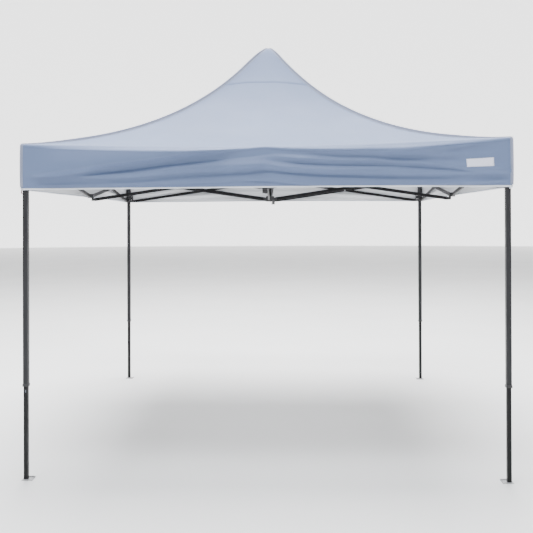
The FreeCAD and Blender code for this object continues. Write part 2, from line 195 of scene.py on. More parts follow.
def cloth_material(name, colour, roughness, sheen, threads=900):
    """Coated polyester: a plain weave along the cloth's UVs, faint clouding and soft creases."""
    made = Finish(name, colour, roughness, sheen=sheen)
    made.set("Specular IOR Level", 0.3)
    made.set("Sheen Roughness", 0.4)
    made.set("Sheen Tint", (0.62, 0.72, 0.95, 1))
    clouds = made.noise(1.7, 4)
    made.colour(made.ramp(clouds, [(0.3, mixed(colour, 0.95)), (0.7, mixed(colour, 1.05))]))
    made.roughness(made.range(made.noise(9, 3), roughness - 0.05, roughness + 0.07))
    made.bump(made.noise(4, 4), 0.004, 0.25)
    made.bump(made.noise(35, 3), 0.0006, 0.25)
    uv = made.add("ShaderNodeUVMap", uv_map="cloth").outputs["UV"]
    split = made.add("ShaderNodeSeparateXYZ")
    made.link(uv, split.inputs["Vector"])
    crossings = []
    for axis in ("X", "Y"):
        turns = made.math("MULTIPLY", split.outputs[axis], threads * math.tau)
        crossings.append(made.math("SINE", turns, 0.0))
    made.bump(made.math("MULTIPLY", *crossings), 0.0002, 0.4)
    return made.material


def powder_coat(name, colour, wear):
    """Powder-coated tube: orange-peel relief, dust and paler rubbed patches."""
    made = Finish(name, colour, 0.42)
    made.set("Specular IOR Level", 0.2)
    patches = made.noise(14, 5, (1, 1, 0.25))
    made.colour(made.ramp(patches, [(0.35, mixed(colour, 0.85)), (0.6, colour), (0.78, wear)]))
    made.roughness(made.range(made.noise(60, 4), 0.34, 0.52))
    made.bump(made.noise(900, 2), 0.00012, 0.5)
    return made.material


def moulded(name, colour):
    """Moulded plastic with a fine spark-eroded grain."""
    made = Finish(name, colour, 0.5)
    mottle = made.noise(30, 4)
    made.colour(made.ramp(mottle, [(0.3, mixed(colour, 0.8)), (0.75, mixed(colour, 1.5))]))
    made.roughness(made.range(made.noise(120, 3), 0.42, 0.62))
    made.bump(made.noise(1800, 2), 0.0001, 0.45)
    return made.material


def zinc(name, colour, roughness, metallic=0.9):
    """Zinc-plated steel with its spangle and a dull bloom."""
    made = Finish(name, colour, roughness, metallic=metallic)
    cells = made.add("ShaderNodeTexVoronoi")
    cells.inputs["Scale"].default_value = 160
    made.link(made.place, cells.inputs["Vector"])
    spangle = cells.outputs["Color"]
    made.colour(made.ramp(spangle, [(0.2, mixed(colour, 0.75)), (0.8, mixed(colour, 1.15))]))
    made.roughness(made.range(made.noise(70, 4), roughness - 0.08, roughness + 0.14))
    made.bump(made.noise(400, 3), 0.00008, 0.5)
    return made.material


SHELL = (0.134, 0.183, 0.312)
CLOTH = cloth_material("canopy_polyester", SHELL, 0.60, 0.12)
LINING = cloth_material("canopy_lining", (0.74, 0.75, 0.77), 0.5, 0.1)
BINDING = cloth_material("hem_binding", (0.74, 0.77, 0.83), 0.7, 0.2, 1200)
SEAM = cloth_material("seam_tape", (0.27, 0.295, 0.39), 0.6, 0.2, 1100)
PATCH = cloth_material("blank_patch", (0.76, 0.78, 0.92), 0.55, 0.1, 1300)
THREAD = cloth_material("sewing_thread", mixed(SHELL, 0.8), 0.7, 0.2, 2500)
PALE_THREAD = cloth_material("pale_thread", (0.62, 0.65, 0.72), 0.7, 0.2, 2500)
WEBBING = cloth_material("red_webbing", (0.30, 0.05, 0.05), 0.75, 0.2, 1100)
CHARCOAL = powder_coat("charcoal_powder_coat", (0.028, 0.028, 0.031), (0.052, 0.052, 0.056))
BLACK = powder_coat("black_powder_coat", (0.007, 0.007, 0.008), (0.020, 0.020, 0.022))
PLASTIC = moulded("black_plastic", (0.016, 0.016, 0.018))
LATCH = moulded("latch_plastic", (0.035, 0.035, 0.038))
MARKER = moulded("pale_plastic", (0.075, 0.085, 0.105))
STEEL = zinc("plated_steel", (0.62, 0.62, 0.63), 0.32)
GALVANISED = zinc("galvanised_plate", (0.40, 0.40, 0.41), 0.45, 0.6)


# --------------------------------------------------------- CAD node finishes
# where a node's finish changes, in metres
BAR_OFFSET = 0.0068         # a bar's middle from its scissor's plane
BAR_WIDTH = 0.0135
PIN_PROUD = 0.0003          # faces further out than this belong to a pin's head
PLUG_LENGTH = 0.024
TUBE_FACE = 0.0151          # half the outer leg; its end sleeve is wider
SLEEVE_LIP = 0.001
PLATE_TOP = 0.0085          # top of the foot plate's lips
POST_FACE = 0.013
CAP_DEPTH = 0.034


def paint(name, materials, choose=lambda x, y, z: 0):
    """Gives a CAD node its materials; choose(x, y, z) picks one for each face."""
    mesh = nodes[name].data
    mesh.materials.clear()
    for material in materials:
        mesh.materials.append(material)
    for face in mesh.polygons:
        face.material_index = int(choose(*face.center))


def round_edges(name, width):
    """Softens a CAD node's edges without touching its vertices."""
    weld = nodes[name].modifiers.new("weld", "WELD")
    weld.merge_threshold = 1e-5
    bevel = nodes[name].modifiers.new("edges", "BEVEL")
    bevel.width = width
    bevel.segments = 2
    bevel.limit_method = "ANGLE"
    bevel.angle_limit = math.radians(40)


def paint_bar(name):
    """Black tube with plastic end plugs and a steel head on each middle pin."""
    low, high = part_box(name)
    along = 0 if high[0] - low[0] > high[1] - low[1] else 1
    across = 1 - along
    centre = (low[across] + high[across]) / 2
    tube_face = BAR_OFFSET + BAR_WIDTH / 2

    def choose(*point):
        if "falling" in name and abs(point[across] - centre) > tube_face + PIN_PROUD:
            return 2
        return min(point[along] - low[along], high[along] - point[along]) < PLUG_LENGTH

    paint(name, [BLACK, PLASTIC, STEEL], choose)


for name in nodes:
    if name.startswith(("arm_", "side_bar")):
        paint_bar(name)
        round_edges(name, 0.0015)
    elif name.startswith("outer_leg"):
        low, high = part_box(name)
        middle = (low + high) / 2
        paint(name, [CHARCOAL, PLASTIC], lambda x, y, z: (
            max(abs(x - middle[0]), abs(y - middle[1])) > TUBE_FACE or z < low[2] + SLEEVE_LIP))
        round_edges(name, 0.0018)
    elif name.startswith("inner_leg"):
        paint(name, [BLACK, GALVANISED], lambda x, y, z: z < PLATE_TOP)
        round_edges(name, 0.0006)
    elif name == "king_post":
        paint(name, [BLACK, PLASTIC], lambda x, y, z: (
            math.hypot(x, y) > POST_FACE or z > POST_TOP - CAP_DEPTH))
    elif name.startswith("slider_latch"):
        paint(name, [LATCH])
        round_edges(name, 0.0012)
    elif name.startswith("leg_button"):
        paint(name, [STEEL])
        round_edges(name, 0.0012)
    elif name != "canopy":
        paint(name, [PLASTIC])
        round_edges(name, 0.0012)


# ------------------------------------------------------------- canopy shape
# A place on the cloth is a side (0 front, 1 right, 2 back, 3 left), a place
# along it from -1 to 1, and a run down the cloth: 0 at the peak, 1 where the
# roof starts to turn down, TURN where the valance starts and 2 at the hem.
# All lengths are in metres.
TURN = 1.1

# the CAD canopy's own arcs
EAVE_HEIGHT = 2.045
SWOOP_RADIUS = 2.080
PEAK_RADIUS = 0.070

# roof
TIP = 0.038                 # the round tip that the hips run into, and how suddenly
TIP_POWER = 2.3
TIP_ROUNDING = 0.060        # where the square outline becomes a circle
TIP_SPREAD = 1.08
PEAK_LEAN = 0.022           # how far the peak leans to the left
LEAN_START = 0.45
HIP_SAG = 0.015
RIGHT_SAG = 0.021
BELLY = 0.018               # sag of a gore between its hips
DROP_POWER = 1.35           # how late the roof falls to its eave
RIPPLE = 0.0022
EAVE_SLOPE = 0.2293         # the roof's slope at an eave without sag
SLOPE_LOSS = 0.92           # how much of it each metre of sag takes away
LEAST_SLOPE = 0.02
JOIN_POWER = 8              # keeps the step between roof and turn next to the eave

# eave, from the left to the right corner of each side
CORNER_HEIGHTS = (2.029, 2.052, 2.046, 2.038)
SIDE_SAG = (0.037, 0.044, 0.046, 0.040)
SAG_POWER = 1.7
MIDDLE_LIFT, MIDDLE_SPAN = 0.004, 0.045     # the middle fitting holds the eave up
EAVE_RADIUS = 0.012
EAVE_SOFTNESS = 0.026
TIGHT_SPAN = 0.12

# valance
CORNER_HEMS = (1.754, 1.760, 1.757, 1.756)
HEM_RISE, HEM_WAVE = 0.005, 0.002
SIDE_BULGE = (0.011, 0.012, 0.012, 0.017)
CORNER_BULGE = 0.0015
CORNER_START = 0.978        # creases die out between here and the corner
VALANCE_WAVE = 0.004
RIDGE, RIDGE_SPAN = 0.003, 0.006            # the pressed fold down the middle
SOFT_STOP = 0.003           # how softly the cloth comes to rest on the frame

# lengths of cloth, for weave and stitches
ROOF_LENGTH = 1.72
VALANCE_LENGTH = 0.3
RUN_METRES = 0.31           # metres of valance in one run

# Creases across a valance: (place, height) points from 0 at the eave to 1 at
# the hem, then in millimetres how far the cloth stands proud above that line, how
# far the fold reaches above and below it, and in some how slowly it dies out above.
LEFT_CREASES = (
    (((-0.97, 0.725), (-0.805, 0.610), (-0.663, 0.490), (-0.523, 0.395), (-0.382, 0.265),
      (-0.241, 0.160), (-0.10, 0.060), (0.04, 0.010)), 31.0, 20.0, 20.0, 75.0),
    (((-0.95, 0.740), (-0.80, 0.735), (-0.66, 0.720), (-0.52, 0.685), (-0.38, 0.600),
      (-0.21, 0.545), (0.02, 0.485)), 15.0, 18.0, 17.0),
    (((-0.45, 0.420), (-0.33, 0.340), (-0.07, 0.180), (0.04, 0.130)), 3.5, 9.0, 7.0),
    (((-0.98, 0.930), (-0.6, 0.890), (-0.2, 0.820), (0.05, 0.770)), 3.0, 10.0, 8.0),
)
RIGHT_CREASES = (
    (((-0.02, 0.010), (0.178, 0.095), (0.277, 0.170), (0.37, 0.190), (0.47, 0.215),
      (0.555, 0.245), (0.68, 0.300), (0.80, 0.340)), 13.0, 20.0, 21.0),
    (((0.02, 0.255), (0.15, 0.335), (0.313, 0.395), (0.434, 0.405), (0.555, 0.455),
      (0.683, 0.515), (0.754, 0.560), (0.862, 0.630), (0.99, 0.705)), 12.0, 15.0, 14.0),
    (((-0.04, 0.475), (0.107, 0.560), (0.22, 0.615), (0.33, 0.635), (0.47, 0.665),
      (0.61, 0.690), (0.79, 0.705), (0.995, 0.730)), 13.0, 14.0, 12.0),
    (((0.62, 0.930), (0.79, 0.915), (0.90, 0.900), (0.995, 0.865)), 6.0, 8.0, 8.0),
    (((-0.10, 0.750), (-0.015, 0.790), (0.043, 0.810), (0.114, 0.860), (0.22, 0.920)),
     4.5, 8.0, 7.0),
    (((0.86, 0.46), (0.93, 0.55), (0.995, 0.62)), 5.0, 5.0, 5.0),
    (((0.88, 0.54), (0.95, 0.61), (0.995, 0.67)), 4.5, 5.0, 5.0),
    (((0.45, 0.26), (0.65, 0.19), (0.80, 0.12), (0.98, 0.05)), 12.0, 20.0, 22.0),
)


def scaled(creases, scale):
    """The same creases, scaled in depth."""
    return tuple((points, depth * scale, *reach) for points, depth, *reach in creases)


def mirror(creases, scale):
    """The same creases on the other half of a side, scaled in depth."""
    return tuple((tuple((-s, h) for s, h in reversed(points)), *rest)
                 for points, *rest in scaled(creases, scale))


SIDE_CREASES = (
    LEFT_CREASES + RIGHT_CREASES,
    mirror(LEFT_CREASES, 0.7) + mirror(RIGHT_CREASES, 0.6),
    scaled(LEFT_CREASES, 0.6) + mirror(LEFT_CREASES, 0.8),
    mirror(RIGHT_CREASES, 0.8) + scaled(RIGHT_CREASES, 0.7),
)


def smooth(x, low=0.0, high=1.0):
    """0 below low, 1 above high and an even S between them."""
    t = np.clip((x - low) / (high - low), 0, 1)
    return t * t * (3 - 2 * t)


def swoop_centre():
    """The middle of the arc that the roof sweeps along: it passes the eave and touches the peak."""
    tip_centre = np.array([0.0, PEAK - PEAK_RADIUS])
    to_eave = np.array([HALF, EAVE_HEIGHT]) - tip_centre
    reach = SWOOP_RADIUS + PEAK_RADIUS
    length = np.linalg.norm(to_eave)
    along = (length ** 2 + reach ** 2 - SWOOP_RADIUS ** 2) / (2 * length)
    unit = to_eave / length
    upward = np.array([-unit[1], unit[0]])
    return tip_centre + unit * along + upward * math.sqrt(reach ** 2 - along ** 2)


SWOOP = swoop_centre()


def hip(r):
    """Height of the hips at a distance from the middle: a swept arc with a small round tip."""
    swept = (r ** TIP_POWER + TIP ** TIP_POWER) ** (1 / TIP_POWER)
    return SWOOP[1] - np.sqrt(SWOOP_RADIUS ** 2 - (SWOOP[0] - swept) ** 2)


def eave(side, s):
    """Height of a side's eave, which sags between the corners and the middle fitting."""
    left, right = CORNER_HEIGHTS[side], CORNER_HEIGHTS[(side + 1) % 4]
    corners = left + (right - left) * (s + 1) / 2
    sag = SIDE_SAG[side] * (1 - np.abs(s) ** SAG_POWER)
    return corners - sag + MIDDLE_LIFT * np.exp(-(s / MIDDLE_SPAN) ** 2)


def eave_radius(s):
    """The turn from roof to valance: tight at the corners and the middle, soft between them."""
    return EAVE_RADIUS + EAVE_SOFTNESS * (1 - s ** 4) * (1 - np.exp(-(s / TIGHT_SPAN) ** 2))


def roof(side, s, r):
    """Height of a gore: the hips less a sag that grows towards the eave."""
    share = r / HALF
    drop = (hip(np.float64(HALF)) - eave(side, s)) * share ** DROP_POWER
    belly = BELLY * (1 - s ** 2) * share * (1 - share) * 4
    ripple = RIPPLE * np.sin(9.0 * s + 2.2 * side) * (1 - s ** 2)
    ripple = ripple * smooth(share, 0.08, 0.3) * (1 - share)
    return hip(r) - drop - belly + ripple - HIP_SAG * 4 * share * (1 - share)


LINE_BLUR = 0.04            # rounds the corners of a crease's line
FOLD_GAIN = 1.65            # makes the highest point of t * exp(-t * t / 2) equal 1
BEYOND, FADE_IN, FADE_OUT = 0.03, 0.13, 0.07    # how a crease starts and ends


def creases(side, s, height, drop):
    """How far a valance stands out at a place, height being 0 to 1 down its drop."""
    out = np.zeros(np.broadcast(s, height).shape)
    for points, depth, above, below, *tail in SIDE_CREASES[side]:
        places = [place for place, _ in points]
        levels = [level for _, level in points]
        shifts = (-LINE_BLUR, 0, LINE_BLUR)
        line = sum(np.interp(s + shift, places, levels) for shift in shifts) / 3
        below_line = (height - line) * drop * 1000
        t = below_line / np.where(below_line < 0, above, below)
        fold = -FOLD_GAIN * t * np.exp(-t * t / 2)
        rise = np.exp(-((below_line + above) / (tail or [above])[0]) ** 2 / 2)
        fold = np.where(t < -1, rise, fold)
        starts = smooth(s, places[0] - BEYOND, places[0] + FADE_IN)
        ends = 1 - smooth(s, places[-1] - FADE_OUT, places[-1] + BEYOND)
        out = out + depth / 1000 * fold * (starts * ends)
    return out


def front_shape(side, s, run):
    """The cloth of one side, turned to the front: across, outward and height."""
    top = eave(side, s)
    slope = EAVE_SLOPE - SLOPE_LOSS * (hip(np.float64(HALF)) - top)
    tilt = np.arctan(np.maximum(slope, LEAST_SLOPE))
    radius = eave_radius(s)
    tangent = radius * np.tan((math.pi / 2 - tilt) / 2)
    roof_end = HALF - tangent * np.cos(tilt)
    r = roof_end * np.clip(run, 0, 1)
    z = roof(side, s, r)
    join = top + tangent * np.sin(tilt) - roof(side, s, roof_end)
    z = z + join * np.clip(run, 0, 1) ** JOIN_POWER

    turning = np.clip((run - 1) / (TURN - 1), 0, 1)
    angle = tilt + (math.pi / 2 - tilt) * turning
    turned_r = HALF - radius + radius * np.sin(angle)
    turned_z = top - tangent + radius * np.cos(angle)
    r = np.where(run > 1, turned_r, r)
    z = np.where(run > 1, turned_z, z)

    left, right = CORNER_HEMS[side], CORNER_HEMS[(side + 1) % 4]
    hem = left + (right - left) * (s + 1) / 2
    hem = hem + (HEM_RISE + HEM_WAVE * np.sin(2.6 * s + side)) * (1 - s ** 2)
    down = (run - TURN) / (2 - TURN)
    z = np.where(run > TURN, top - tangent + (hem - top + tangent) * down, z)

    drop = top - HEM
    height = np.clip((top - z) / drop, 0, 1.02)
    hanging = smooth(height, 0.0, 0.10) * (run > 1)
    corner = CORNER_BULGE * np.sin(math.pi * height) * hanging
    out = creases(side, s, height, drop) * (1 - smooth(np.abs(s), CORNER_START, 1.0))
    out = out + SIDE_BULGE[side] * np.sin(math.pi * np.clip(height, 0, 1)) ** 0.7 * (1 - s ** 8)
    out = out + VALANCE_WAVE * height * np.sin(4.1 * s + 1.7 * side + 1.0) * (1 - s ** 2)
    out = out + RIDGE * np.exp(-(s / RIDGE_SPAN) ** 2) * (1 - 0.6 * height)
    out = out * hanging
    # the frame behind keeps the cloth from falling further in
    out = corner + (out + np.sqrt(out ** 2 + SOFT_STOP ** 2) - SOFT_STOP) / 2
    across = s * (r + corner)

    # near the tip the square outline becomes round
    round_off = np.exp(-(r / TIP_ROUNDING) ** 2)
    circle = r * TIP_SPREAD
    across = across * (1 - round_off) + circle * np.sin(s * math.pi / 4) * round_off
    outward = (r + out) * (1 - round_off) + circle * np.cos(s * math.pi / 4) * round_off
    return across, outward, z


def face(side, across, outward, z):
    """Turns a side's own across, outward and height into the row frame."""
    x, y = across, -outward
    for _ in range(side % 4):
        x, y = -y, x
    return np.stack(np.broadcast_arrays(x, y, z), axis=-1)


def stretched(side, s, run):
    """The cloth pulled over the open frame: its peak leans left and its right half is slacker."""
    share = np.clip(run, 0, 1)
    places = face(side, *front_shape(side, s, run))
    slack = RIGHT_SAG * 4 * share * (1 - share) * smooth(places[..., 0] / HALF, -0.1, 0.35)
    lean = LEAN_START + (1 - LEAN_START) * smooth(share, 0.0, 0.10)
    places[..., 0] -= PEAK_LEAN * (1 - share) * lean
    places[..., 2] -= slack
    return places


HANG_LEVEL = 2.03           # the folded frame holds the cloth at this height
SWAG_OUT = 0.15
SWAG_DOWN = 0.56
SWAG_WIDTH = 1.8            # more makes the swags wider and the folds between them tighter
VALANCE_FLARE, VALANCE_RUFFLE = 0.03, 0.006
HEAP_RISE = 0.085
HEAP_SPREAD = 0.85          # under 1, the roof's middle takes up more of the heap
CROWDING = 0.07             # gathers the cloth into the middle of each swag


def gathered(side, s, run):
    """The cloth bunched over the folded frame, hanging in two swags on each side."""
    z = front_shape(side, s, run)[2]
    share = np.clip(run, 0, 1)
    hang = np.clip(run - 1, 0, 2)
    loop = 1 - (0.5 + 0.5 * np.cos(2 * math.pi * s)) ** SWAG_WIDTH
    reach = smooth(share, 0.35, 0.95) * loop
    held = FOLDED_HALF * share ** HEAP_SPREAD
    out = held + SWAG_OUT * smooth(reach, 0.0, 0.45) + VALANCE_FLARE * loop * hang
    out = out + VALANCE_RUFFLE * np.sin(23 * run) * hang
    down = SWAG_DOWN * smooth(reach, 0.25, 1.0)
    folds = 1 + np.cos(5 * math.pi * share + 2.4 * np.sin(5 * s + side))
    heap = HANG_LEVEL + HEAP_RISE * np.sin(math.pi * share) ** 0.7 * folds
    level = np.minimum(heap - down, z - down)
    below = (z - eave(side, s)) * (run > 1)
    level = np.where(run > 1, np.minimum(HANG_LEVEL, eave(side, s)) - down + below, level)
    sideways = held * (s + CROWDING * np.sin(2 * math.pi * s))
    return face(side, sideways, out, np.minimum(level, z))


def normal(shape, side, s, run):
    """The outward direction of a shape's cloth, mitred where two sides meet."""
    step = 2e-4
    sharpest = 0.4              # keeps a mitre short where two sides fold back on each other
    s = np.asarray(s, float)
    run = np.asarray(run, float)

    def lean(side, s):
        low, high = np.clip(s - step, -1, 1), np.clip(s + step, -1, 1)
        start = np.maximum(run - step, 1e-4)
        along = shape(side, high, run) - shape(side, low, run)
        down = shape(side, s, start + 2 * step) - shape(side, s, start)
        out = np.cross(down, along)
        return out / np.maximum(np.linalg.norm(out, axis=-1, keepdims=True), 1e-12)

    here = lean(side, s)
    there = np.where((s > 0)[..., None], lean((side + 1) % 4, -s), lean((side - 1) % 4, -s))
    both = here + there
    mitre = both / np.maximum(1 + np.sum(here * there, axis=-1, keepdims=True), sharpest)
    return np.where((np.abs(s) > 1 - 1e-6)[..., None], mitre, here)


def lifted(shape, side, s, run, lift):
    """A place on a shape, moved off the cloth by lift metres."""
    s, run, lift = np.broadcast_arrays(*[np.asarray(part, float) for part in (s, run, lift)])
    return shape(side, s, run) + normal(shape, side, s, run) * lift[..., None]


# ------------------------------------------------------------ building calls
def mesh_piece(name, points, faces, materials, uvs=None):
    """A new object from points and faces; uvs is one pair for each point."""
    mesh = bpy.data.meshes.new(name)
    mesh.from_pydata([tuple(point) for point in points], [], faces)
    for material in materials:
        mesh.materials.append(material)
    layer = mesh.uv_layers.new(name="cloth")
    points = np.asarray(points, float)
    if uvs is None:
        uvs = points[:, :2] + points[:, 2:]
    corners = np.empty(len(mesh.loops), np.int32)
    mesh.loops.foreach_get("vertex_index", corners)
    layer.data.foreach_set("uv", np.asarray(uvs, np.float32)[corners].ravel())
    mesh.polygons.foreach_set("use_smooth", [True] * len(mesh.polygons))
    mesh.update()
    piece = bpy.data.objects.new(name, mesh)
    scene.collection.objects.link(piece)
    return piece


LEAST_PULL = 0.0005         # a point that follows a hook by a smaller share is left out


def sew_on(piece, rest, target):
    """Puts cloth on the canopy: it goes from rest to target as the frame folds."""
    move = np.asarray(target) - np.asarray(rest)
    pulls = (
        ("mid_upper_left", move[:, 0] / TRAVEL_IN),
        ("mid_upper_right", -move[:, 0] / TRAVEL_IN),
        ("mid_upper_front", move[:, 1] / TRAVEL_IN),
        ("mid_upper_back", -move[:, 1] / TRAVEL_IN),
        ("lower_hub_and_post", -move[:, 2] / TRAVEL_DOWN),
    )
    for body, shares in pulls:
        group = piece.vertex_groups.new(name=body)
        for index, share in enumerate(np.clip(shares, 0, 1).tolist()):
            if share > LEAST_PULL:
                group.add([index], share, "REPLACE")
        hook = piece.modifiers.new(body, "HOOK")
        hook.object = frame["bodies"][body]
        hook.vertex_group = body
        hook.falloff_type = "NONE"
    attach(piece, ROOT)


def grid_faces(rows, columns, closed):
    """Quads of a grid whose points run along its columns first."""
    faces = []
    for row in range(rows - 1):
        for column in range(columns if closed else columns - 1):
            after = (column + 1) % columns
            faces.append((row * columns + column, (row + 1) * columns + column,
                          (row + 1) * columns + after, row * columns + after))
    return faces


def cloth_grid(name, rest, target, uvs, materials, closed=False, tip=False):
    """A grid of cloth with its folded place; tip closes the first row with one point."""
    rows, columns = rest.shape[:2]
    faces = grid_faces(rows, columns, closed)
    rest, target, uvs = rest.reshape(-1, 3), target.reshape(-1, 3), uvs.reshape(-1, 2)
    if tip:
        rest = np.vstack([rest, rest[:columns].mean(axis=0)])
        target = np.vstack([target, target[:columns].mean(axis=0)])
        uvs = np.vstack([uvs, uvs[:columns].mean(axis=0)])
        faces += [(len(rest) - 1, column, (column + 1) % columns) for column in range(columns)]
    piece = mesh_piece(name, rest, faces, materials, uvs)
    sew_on(piece, rest, target)
    return piece


def thicken(piece, thickness, inner):
    """Gives cloth its thickness inwards; inner is the material number of its underside."""
    solidify = piece.modifiers.new("thickness", "SOLIDIFY")
    solidify.thickness = thickness
    solidify.offset = -1
    solidify.material_offset = inner
    solidify.material_offset_rim = inner
    solidify.use_even_offset = False


def cloth_uv(s, run):
    """Metres along and down the cloth."""
    share = np.clip(run, 0, 1)
    along = s * HALF * share
    length = ROOF_LENGTH * share + VALANCE_LENGTH * np.clip(run - 1, 0, 2)
    return np.stack(np.broadcast_arrays(along, length), axis=-1)


def ring(name, runs, lifts, steps, materials, tip=False, dip=0.0):
    """A closed band round the whole cloth, with one run and one lift for each row.

    The band is lower at the corners than at the middle of a side by a share dip.
    """
    runs = np.asarray(runs, float)[:, None]
    lifts = np.broadcast_to(np.asarray(lifts, float), (len(runs),))[:, None]
    s = steps[None, :]
    dipped = runs * (1 + dip * s ** 2)
    rest, target, uvs = [], [], []
    for side in range(4):
        rest.append(lifted(stretched, side, s, dipped, lifts))
        target.append(lifted(gathered, side, s, dipped, lifts))
        uvs.append(cloth_uv(s, dipped) + np.array([side * 3.0, 0.0]))
    rest, target, uvs = (np.concatenate(parts, axis=1) for parts in (rest, target, uvs))
    return cloth_grid(name, rest, target, uvs, materials, closed=True, tip=tip)


def side_steps(count):
    """Places along a side, closer together at the corners and the middle."""
    even, crowding = np.linspace(-1, 1, count + 1)[:-1], 0.035
    return even - crowding * np.sin(2 * math.pi * even)


# -------------------------------------------------------------- canopy cloth
TIP_RUNS = np.array([0.003, 0.007, 0.012, 0.018, 0.025, 0.033, 0.043, 0.055, 0.07, 0.09])
TURN_RUNS = np.linspace(1.0, TURN, 7)
CLOTH_RUNS = np.concatenate([TIP_RUNS, np.linspace(0.115, 0.985, 44), TURN_RUNS,
                             np.linspace(TURN, 2.0, 58)[1:]])
CLOTH_STEPS = side_steps(100)
CLOTH_THICKNESS = 0.0012
cloth = ring("canopy_cloth", CLOTH_RUNS, 0.0, CLOTH_STEPS, [CLOTH, LINING], tip=True)
thicken(cloth, CLOTH_THICKNESS, inner=1)
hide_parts("canopy")

# binding folded over the hem, inside and out
BAND_WIDTH = 0.010
BAND = BAND_WIDTH / VALANCE_LENGTH * (2 - TURN)
BAND_TOP = 2 - BAND
BAND_END = 2.0055
hem = ring("hem_binding",
           [BAND_TOP, BAND_TOP, 2.0, BAND_END, BAND_END, 2.0, BAND_TOP, BAND_TOP],
           [-0.0002, 0.0008, 0.0010, 0.0006, -0.0018, -0.0022, -0.0022, -0.0010],
           CLOTH_STEPS, [BINDING])


TAPE_LIFT = 0.003           # higher than this is the seam's fin, which is lower at its ends
FIN_ENDS = 0.25
LEAST_REACH = 0.012         # keeps the strip's width where the hips meet


def hip_strip(name, corner, runs, section, materials):
    """A strip over a hip and down the corner of the valance, with a section of (offset, lift)."""
    reach = np.maximum(HALF * np.clip(runs, 0, 1), LEAST_REACH)
    full = smooth(runs, 0.0, 0.06) * (1 - smooth(runs, 0.80, 1.0))
    stand = FIN_ENDS + (1 - FIN_ENDS) * full
    rest, target, uvs = [], [], []
    for shape, store in ((stretched, rest), (gathered, target)):
        upward = normal(shape, corner, np.full(len(runs), -1.0), runs)
        upward = upward / np.linalg.norm(upward, axis=-1, keepdims=True)
        for offset, lift in section:
            side = (corner - 1) % 4 if offset <= 0 else corner
            s = 1 - abs(offset) / reach if offset <= 0 else -1 + offset / reach
            height = np.where(lift > TAPE_LIFT, TAPE_LIFT + (lift - TAPE_LIFT) * stand, lift)
            store.append(shape(side, s, runs) + upward * height[:, None])
    for offset, _ in section:
        uvs.append(np.stack([np.full(len(runs), offset), ROOF_LENGTH * runs], axis=-1))
    rest, target, uvs = (np.stack(parts, axis=1) for parts in (rest, target, uvs))
    return cloth_grid(name, rest, target, uvs, materials)


# half of the seam's section, from its edge to the top of the fin, in metres
SEAM_HALF = ((0.0125, -0.0004), (0.012, 0.0014), (0.007, 0.0016), (0.0048, 0.0028),
             (0.0042, 0.0095), (0.003, 0.0145))
SEAM_TOP = (0.0, 0.0165)
SEAM_SECTION = [(-offset, lift) for offset, lift in SEAM_HALF] + [SEAM_TOP, *reversed(SEAM_HALF)]
SEAM_RUNS = np.concatenate([np.linspace(0.012, 1.0, 90), TURN_RUNS[1:],
                            np.linspace(TURN, 1.955, 24)[1:]])
THREAD_OFFSET, THREAD_HALF = 0.0095, 0.0005

with_cloth = [hem]
for corner, name in enumerate(CORNERS):
    with_cloth.append(hip_strip(f"hip_seam_{name}", corner, SEAM_RUNS, SEAM_SECTION, [SEAM]))
    for offset, edge in ((-THREAD_OFFSET, "left"), (THREAD_OFFSET, "right")):
        section = ((offset - THREAD_HALF, 0.0012), (offset, 0.0024), (offset + THREAD_HALF, 0.0012))
        thread = hip_strip(f"hip_stitching_{edge}_{name}", corner, SEAM_RUNS[3:], section, [THREAD])
        with_cloth.append(thread)

# a second layer of cloth round the peak, and its sewn edge
PEAK_DIP = 0.14             # it reaches lower down the hips than down the gores
PEAK_LIFT = 0.0011
PEAK_RUNS = np.concatenate([TIP_RUNS, np.linspace(0.11, 0.194, 8), [0.1955]])
PEAK_LIFTS = np.append(np.full(len(PEAK_RUNS) - 1, PEAK_LIFT), -0.0002)
peak = ring("peak_reinforcement", PEAK_RUNS, PEAK_LIFTS, side_steps(48), [CLOTH],
            tip=True, dip=PEAK_DIP)
with_cloth.append(peak)
for number, run in ((1, 0.1875), (2, 0.1925)):
    edge = 0.0007
    thread = ring(f"peak_stitching_{number}", [run - edge, run, run + edge],
                  [PEAK_LIFT - 0.0003, PEAK_LIFT + 0.0007, PEAK_LIFT - 0.0003],
                  side_steps(64), [CLOTH], dip=PEAK_DIP)
    with_cloth.append(thread)

# the seam that joins roof and valance, just under the turn
eave_seam = ring("eave_stitching", [TURN + 0.012, TURN + 0.016, TURN + 0.020],
                 [-0.0003, 0.0006, -0.0003], CLOTH_STEPS, [THREAD])
with_cloth.append(eave_seam)


